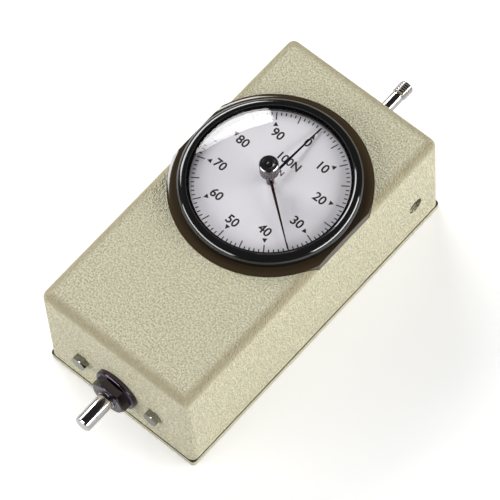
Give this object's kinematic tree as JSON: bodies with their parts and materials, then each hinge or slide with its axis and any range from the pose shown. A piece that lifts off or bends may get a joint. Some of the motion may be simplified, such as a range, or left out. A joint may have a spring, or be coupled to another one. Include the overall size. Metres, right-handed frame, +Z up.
{
  "type": "force gauge",
  "caption": "Push-pull force gauge: a sprung measuring shaft turns a pointer through a rack and gears under a domed window, with a peak pointer set by a knob.",
  "frame": {"origin": "on the underside of the base, midway along and across the whole gauge, shaft ends included", "axes": "+X across the body, +Y along the measuring shaft toward its threaded pull end, +Z up through the dial"},
  "size_m": [0.072, 0.1864, 0.0689],
  "materials": {
    "cream_paint": "cream wrinkle paint on cast aluminium",
    "black_metal": "glossy black enamel",
    "bright_steel": "ground and nickel plated",
    "plain_steel": "plain machined",
    "screw_steel": "zinc plated",
    "spring_steel": "drawn spring wire",
    "brass": "machined brass",
    "black_plastic": "polished black",
    "black_knob": "knurled black",
    "black_rubber": "soft black",
    "white_dial": "matt white with black print",
    "clear_window": "clear polished acrylic",
    "dark_red": "dark red enamel"
  },
  "bodies": {
    "body": {"housing": "cream_paint", "base_cover": "cream_paint", "cover_screws": "screw_steel", "front_bush": "black_metal", "front_washer": "black_metal", "front_nut": "black_metal", "front_hex_screws": "bright_steel", "rear_bush": "brass", "spring_adjuster": "brass", "chassis": "plain_steel", "main_spring": "spring_steel", "pivot_bushes": "brass", "hairspring": "spring_steel", "hairspring_stud": "brass", "upper_plate": "brass", "movement_pillars": "brass", "movement_screws": "screw_steel", "dial_case": "black_metal", "case_screws": "screw_steel", "bezel_snap_ring": "spring_steel"},
    "shaft": {"measuring_shaft": "bright_steel", "pull_stud": "bright_steel", "stop_ring": "plain_steel", "spring_collar": "plain_steel", "collar_pin": "plain_steel", "rack_carrier": "brass", "carrier_grub": "screw_steel", "rack": "brass", "rack_screws": "screw_steel"},
    "transfer_arbor": {"gear_arbor": "plain_steel", "rack_pinion": "brass", "transfer_gear": "brass"},
    "pointer_arbor": {"centre_arbor": "plain_steel", "centre_pinion": "brass", "hairspring_collet": "brass", "main_pointer": "black_metal"},
    "bezel_ring": {"bezel": "black_plastic", "dial_ring": "black_metal", "dial_plate": "white_dial", "dial_spacer": "black_plastic", "crystal": "clear_window", "window_gasket": "black_rubber"},
    "peak_hand": {"peak_pointer": "dark_red", "peak_knob": "black_knob", "friction_washer": "black_rubber"}
  },
  "joints": [
    {"name": "shaft_slide", "type": "slide", "parent": "body", "child": "shaft", "axis": [0, 1, 0], "range_m": [0, 0.00982], "stiffness_N_per_m": 10200, "deforming": ["main_spring"]},
    {"name": "transfer_turn", "type": "hinge", "parent": "body", "child": "transfer_arbor", "pos_m": [-0.007, -0.00037, 0.036], "axis": [0, 0, 1], "range_deg": [0, 112.51]},
    {"name": "pointer_turn", "type": "hinge", "parent": "body", "child": "pointer_arbor", "pos_m": [0, 0.0149, 0.036], "axis": [0, 0, 1], "range_deg": [-360.01, 0]},
    {"name": "bezel_turn", "type": "hinge", "parent": "body", "child": "bezel_ring", "pos_m": [0, 0.0149, 0.054], "axis": [0, 0, 1], "continuous": true},
    {"name": "peak_hand_turn", "type": "hinge", "parent": "bezel_ring", "child": "peak_hand", "pos_m": [0, 0.0149, 0.058], "axis": [0, 0, 1], "continuous": true}
  ],
  "couplings": [
    {"joint": "transfer_turn", "follows": "shaft_slide", "rad_per_m": 200},
    {"joint": "pointer_turn", "follows": "shaft_slide", "rad_per_m": -640}
  ]
}
